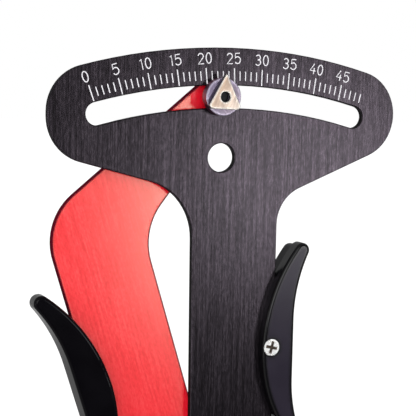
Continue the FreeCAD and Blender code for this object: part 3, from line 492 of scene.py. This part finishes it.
def driven_screw(node, end, turn):
    """Bright zinc with painted shade in its driver recess, a dark brown cross without metal sheen."""
    material, tree, shader = new_finish("bright_" + node.name, 1.0, 0.26)
    marks = noise(tree, (900, 900, 900))
    zinc = ramp(tree, marks, [(0.3, (0.90, 0.89, 0.88)), (0.7, (0.97, 0.97, 0.96))])
    recess = screw_recess(tree, node, end, turn)
    # Painted shade: the recess cross is dark brown.
    tree.links.new(mix_colours(tree, recess, zinc, (0.055, 0.032, 0.018)), shader.inputs["Base Color"])
    tree.links.new(spread(tree, recess, 1, 0, 0, 1), shader.inputs["Metallic"])
    tree.links.new(spread(tree, marks, 0.22, 0.34), shader.inputs["Roughness"])
    return material


def white_print():
    """White ink, a little worn."""
    material, tree, shader = new_finish("white_print", 0.0, 0.5)
    mottled = noise(tree, (2500, 2500, 2500), 0, 3)
    ink = ramp(tree, mottled, [(0.3, (0.66, 0.65, 0.69)), (0.6, (0.86, 0.85, 0.88))])
    tree.links.new(ink, shader.inputs["Base Color"])
    return material


FINISHES = {
    "plate": plate_finish(),
    "arm": arm_finish(),
    "grip": cast_plastic("black_grip_plastic", (0.0020, 0.0017, 0.0026), (0.17, 0.21), 0.13),
    # The right grip's front face is painted paler than the other grips, a painted sheen.
    "sheen_grip": satin_face_plastic("sheen_grip_face", (0.0022, 0.0020, 0.0026),
                                     (0.0225, 0.0185, 0.0295)),
    "zinc": machined_metal("bright_zinc", (0.72, 0.72, 0.70), (0.86, 0.86, 0.85), (0.22, 0.34),
                           (900, 900, 900)),
    "black_steel": machined_metal("black_oxide", (0.020, 0.020, 0.022), (0.045, 0.045, 0.048),
                                  (0.35, 0.5), (1200, 1200, 1200)),
    "post": machined_metal("turned_steel", (0.42, 0.42, 0.43), (0.56, 0.56, 0.57), (0.2, 0.32),
                           (300, 4000, 300)),
    "bronze": machined_metal("sintered_bronze", (0.42, 0.26, 0.11), (0.6, 0.4, 0.18), (0.4, 0.55),
                             (2500, 2500, 2500)),
    # The disc and the pointer carry a painted sheen across their faces, a painted highlight on their
    # broken edges and a painted shade on their walls; the disc's wall colour also paints a reflection of
    # the red arm.
    "disc": edged_metal("turned_disc", "slide_disc", ((0.25, 0.21, 0.33), (0.46, 0.385, 0.47)),
                        (0.70, 0.62, 0.78), (0.26, 0.10, 0.17), (0.32, 0.44), (2500, 2500, 500), 40.0),
    "pointer": edged_metal("brushed_stainless", "pointer", ((0.64, 0.41, 0.27), (0.88, 0.735, 0.63)),
                           (0.98, 0.93, 0.86), (0.030, 0.022, 0.045), (0.30, 0.42),
                           (1500, 1500, 250), -25.0),
    "slider": cast_plastic("black_acetal", (0.03, 0.03, 0.032), (0.35, 0.45)),
    "spring": machined_metal("oiled_spring_wire", (0.24, 0.24, 0.25), (0.40, 0.40, 0.41), (0.25, 0.35),
                             (1500, 1500, 1500)),
}

NODE_FINISH = {
    "scale_plate": "plate",
    "lever_arm": "arm",
    "right_grip_front": "sheen_grip",
    "right_grip_rear": "grip",
    "left_grip_front": "grip",
    "left_grip_rear": "grip",
    "plate_anchor_screw": "black_steel",
    "arm_anchor_screw": "black_steel",
    "pointer_screw": "black_steel",
    "pointer_lock_washer": "zinc",
    "pivot_bolt": "black_steel",
    "pivot_washer": "zinc",
    "pivot_nut": "zinc",
    "pivot_bush": "bronze",
    "fixed_post_left": "post",
    "fixed_post_right": "post",
    "moving_post": "post",
    "arm_spring_anchor": "post",
    "plate_spring_anchor": "post",
    "arm_spring_seat": "slider",
    "plate_spring_seat": "slider",
    "slide_bush": "slider",
    "slide_washer": "slider",
    "slide_disc": "disc",
    "pointer": "pointer",
    "return_spring": "spring",
    "calibration_screw": "black_steel",
    "calibration_lock_nut": "zinc",
}

# Screws with a cross recess: which end along Y is the head, and the cross's turn in degrees.
SCREW_HEADS = {
    "right_grip_screw": (-1, 14),
    "left_grip_screw": (1, 0),
    "fixed_post_screw_left": (1, 0),
    "fixed_post_screw_right": (1, 0),
    "moving_post_screw": (1, 0),
}


def dress(node, material):
    """Put one finish on all of a solid."""
    if not node.material_slots:
        node.data.materials.append(material)
    for slot in node.material_slots:
        slot.material = material


def dress_nodes():
    """Give every solid its finish."""
    for name, finish in NODE_FINISH.items():
        dress(frame["nodes"][name], FINISHES[finish])
    for name, (end, turn) in SCREW_HEADS.items():
        dress(frame["nodes"][name], driven_screw(frame["nodes"][name], end, turn))


# ---------------------------------------------------------------- printed scale

def arc_points(centre, radii, start, end, steps=14):
    """Points of an arc, angles in degrees anticlockwise from +X."""
    points = []
    for step in range(steps + 1):
        turn = math.radians(start + (end - start) * step / steps)
        points.append((centre[0] + radii[0] * math.cos(turn), centre[1] + radii[1] * math.sin(turn)))
    return points


def digit_strokes(digit):
    """Centre lines of a digit's strokes, in millimetres about its middle; the scale needs 0 to 5."""
    top = DIGIT_HEIGHT / 2
    strokes = {
        "0": [arc_points((0, 0), (0.86, top), 90, 450, 28)],
        "1": [[(-0.35, top - 0.55), (0.2, top), (0.2, -top)]],
        "2": [arc_points((0, top - 0.88), (0.9, 0.88), 165, -32) + [(-0.95, -top), (0.98, -top)]],
        "3": [arc_points((-0.05, top - 0.8), (0.8, 0.8), 150, -90)
              + arc_points((-0.05, -top + 0.9), (0.93, 0.9), 90, -150)],
        "4": [[(0.3, top), (-0.95, -0.62), (1.0, -0.62)], [(0.45, 0.35), (0.45, -top)]],
        "5": [[(0.85, top), (-0.66, top), (-0.83, 0.12)]
              + arc_points((-0.02, -top + 1.08), (1.01, 1.08), 128, -148)],
    }
    return strokes[digit]


def add_stroke(bm, points, place):
    """Rounded stroke along a centre line, pressed flat and set on the plate."""
    curve = bpy.data.curves.new("stroke", "CURVE")
    curve.dimensions = "3D"
    spline = curve.splines.new("POLY")
    spline.points.add(len(points) - 1)
    for point, (x, z) in zip(spline.points, points):
        point.co = (x, 0, z, 1)
    curve.bevel_depth = STROKE_WIDTH / 2
    curve.bevel_resolution = 3
    curve.use_fill_caps = True
    holder = bpy.data.objects.new("stroke", curve)
    mesh = bpy.data.meshes.new_from_object(holder)
    mesh.transform(place @ Matrix.Diagonal((1, PRINT_THICKNESS / STROKE_WIDTH, 1, 1)))
    bm.from_mesh(mesh)
    bpy.data.objects.remove(holder)
    bpy.data.curves.remove(curve)
    bpy.data.meshes.remove(mesh)


def on_plate(angle, radius):
    """Matrix from millimetres about a mark to the plate's front face; marks lean a little off the arc."""
    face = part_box("scale_plate")[0].y
    turn = Matrix.Rotation(math.radians(angle), 4, "Y")
    lean = Matrix.Rotation(math.radians(MARK_FAN * angle + MARK_LEAN), 4, "Y")
    centre = PIVOT + turn @ Vector((0, 0, MARK_RADIUS * MM))
    up = Matrix.Translation((0, 0, radius - MARK_RADIUS))
    return Matrix.Translation((centre.x, face, centre.z)) @ lean @ Matrix.Scale(MM, 4) @ up


def digit_places(text):
    """Centres of a number's digits along its line; a 1 is set closer."""
    pitches = [NARROW_PITCH if digit == "1" else DIGIT_PITCH for digit in text]
    start = NUMBER_SHIFT - sum(pitches) / 2
    return [start + sum(pitches[:place]) + pitch / 2 for place, pitch in enumerate(pitches)]


def print_number(bm, number, angle):
    """A number's digits above its mark."""
    place = on_plate(angle, NUMBER_RADIUS - NUMBER_SAG * angle ** 2)
    for digit, shift in zip(str(number), digit_places(str(number))):
        for points in digit_strokes(digit):
            add_stroke(bm, [(x + shift, z) for x, z in points], place)


def scale_marks():
    """White graduation from 0 to 49 with a number at every fifth mark."""
    bm = bmesh.new()
    for number in range(TICK_COUNT):
        angle = (number - MIDDLE_TICK) * TICK_STEP
        numbered = number % NUMBERED_STEP == 0
        low, high, width = LONG_TICK if numbered else SHORT_TICK
        size = Matrix.Diagonal((width, PRINT_THICKNESS, high - low, 1))
        bmesh.ops.create_cube(bm, size=1, matrix=on_plate(angle, (low + high) / 2) @ size)
        if numbered:
            print_number(bm, number, angle)
    bmesh.ops.recalc_face_normals(bm, faces=bm.faces)
    return finish_mesh("scale_marks", bm, white_print(), "plate")


# ---------------------------------------------------------------- return spring

def coil_spring():
    """Compression spring with closed ends between the two seats."""
    low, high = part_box("return_spring")
    centre = Vector(((low.x + high.x) / 2, (low.y + high.y) / 2, (low.z + high.z) / 2))
    radius = (high.z - low.z) / 2 - WIRE_RADIUS
    bm = bmesh.new()
    start = Vector((low.x + WIRE_RADIUS, centre.y, centre.z + radius))
    upright = Matrix.Translation(start) @ Matrix.Rotation(math.radians(90), 4, "X")
    bmesh.ops.create_circle(bm, segments=WIRE_SEGMENTS, radius=WIRE_RADIUS, matrix=upright)
    ends = list(bm.edges)
    open_turns = SPRING_TURNS - 2
    open_pitch = (high.x - low.x - 2 * WIRE_RADIUS - 2 * CLOSED_PITCH) / open_turns
    for pitch, count in ((CLOSED_PITCH, 1), (open_pitch, open_turns), (CLOSED_PITCH, 1)):
        steps = STEPS_PER_TURN * count
        spun = bmesh.ops.spin(bm, geom=ends, cent=centre, axis=(1, 0, 0), angle=math.tau * count,
                              dvec=(pitch * count / steps, 0, 0), steps=steps, use_merge=False)
        ends = [item for item in spun["geom_last"] if isinstance(item, bmesh.types.BMEdge)]
    bmesh.ops.holes_fill(bm, edges=[edge for edge in bm.edges if edge.is_boundary])
    bmesh.ops.recalc_face_normals(bm, faces=bm.faces)
    piece = new_piece("return_coil", bm, FINISHES["spring"])
    shade_smooth(piece, 60)
    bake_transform(piece)
    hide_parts("return_spring")
    return piece


# ---------------------------------------------------------------- studio

def mirrored_backdrop(tree, path, direction):
    """1 for a glossy ray that leaves towards the back, where the white backdrop is."""
    behind = spread(tree, part_of(tree, direction, "Y"), 0.0, 1.0, 0.88, 1.0)
    return combine(tree, "MULTIPLY", path.outputs["Is Glossy Ray"], behind)


def white_background():
    """World that shows white behind the piece, with a dark studio wall where its flat faces mirror it."""
    world = bpy.data.worlds.new("studio")
    bpy.context.scene.world = world
    world.use_nodes = True
    tree = world.node_tree
    background = tree.nodes["Background"]
    path = add_node(tree, "ShaderNodeLightPath")
    direction = add_node(tree, "ShaderNodeTexCoord").outputs["Generated"]
    seen = combine(tree, "MAXIMUM", path.outputs["Is Camera Ray"], path.outputs["Is Transmission Ray"])
    white = combine(tree, "MAXIMUM", seen, mirrored_backdrop(tree, path, direction))
    facing = reach_along(tree, direction, MIRRORED_WAY)
    room = spread(tree, facing, *ROOM_LIGHT)
    mirrored = spread(tree, facing, *MIRRORED_LIGHT)
    dim = mix_colours(tree, path.outputs["Is Glossy Ray"], room, mirrored)
    tree.links.new(mix_colours(tree, white, dim, (1, 1, 1)), background.inputs["Color"])
    background.inputs["Strength"].default_value = 1.0


def softbox(name, azimuth, elevation, distance, size, radiance):
    """Rectangular lamp that faces the tool; azimuth is to the right of straight ahead, in degrees."""
    lamp = bpy.data.lights.new(name, "AREA")
    lamp.shape = "RECTANGLE"
    lamp.size, lamp.size_y = size
    lamp.energy = radiance * math.pi * size[0] * size[1]
    holder = bpy.data.objects.new(name, lamp)
    bpy.context.scene.collection.objects.link(holder)
    side, rise = math.radians(azimuth), math.radians(elevation)
    away = Vector((math.sin(side) * math.cos(rise), -math.cos(side) * math.cos(rise), math.sin(rise)))
    holder.location = LAMP_TARGET + away * distance
    holder.rotation_euler = away.to_track_quat("Z", "Y").to_euler()
    holder.visible_camera = False


def floor_finish():
    """Matt grey with a glow that only the camera and the mirrored backdrop see."""
    material, tree, shader = new_finish("pale_floor", 0.0, 0.9, 0.0)
    shader.inputs["Base Color"].default_value = (0.25, 0.25, 0.25, 1)
    path = add_node(tree, "ShaderNodeLightPath")
    way = add_node(tree, "ShaderNodeVectorMath", operation="NORMALIZE")
    tree.links.new(own_place(tree), way.inputs[0])
    mirrored = mirrored_backdrop(tree, path, way.outputs["Vector"])
    seen = combine(tree, "MAXIMUM", path.outputs["Is Camera Ray"], mirrored)
    glow = add_node(tree, "ShaderNodeEmission")
    glow.inputs["Color"].default_value = (1, 1, 1, 1)
    tree.links.new(spread(tree, seen, 0, FLOOR_GLOW, 0, 1), glow.inputs["Strength"])
    both = add_node(tree, "ShaderNodeAddShader")
    tree.links.new(shader.outputs["BSDF"], both.inputs[0])
    tree.links.new(glow.outputs["Emission"], both.inputs[1])
    tree.links.new(both.outputs["Shader"], tree.nodes["Material Output"].inputs["Surface"])
    return material


def pale_floor():
    """White floor from just in front of the foot to the horizon, which keeps the shadow."""
    bm = bmesh.new()
    place = Matrix.Translation((0, FLOOR_CENTRE, CAD_BOX[0][2] - FLOOR_GAP))
    size = Matrix.Diagonal((*FLOOR_REACH, 1, 1))
    bmesh.ops.create_grid(bm, x_segments=1, y_segments=1, size=1, matrix=place @ size)
    floor = new_piece("floor", bm, floor_finish())


def camera():
    """Long lens from the left of the scale, looking slightly down."""
    lens = bpy.data.cameras.new("camera")
    lens.lens = LENS_LENGTH
    lens.sensor_width = SENSOR_WIDTH
    holder = bpy.data.objects.new("camera", lens)
    bpy.context.scene.collection.objects.link(holder)
    upright = Vector(CAMERA_LOOK).to_track_quat("-Z", "Y")
    aim = upright @ Quaternion((0, 0, 1), math.radians(CAMERA_ROLL))
    holder.location = CAMERA_PLACE
    holder.rotation_euler = aim.to_euler()
    bpy.context.scene.camera = holder


camera()
bpy.context.scene.view_settings.view_transform = "Standard"
dress_nodes()
scale_marks()
coil_spring()
white_background()
for name, setting in SOFTBOXES.items():
    softbox(name, *setting)
pale_floor()
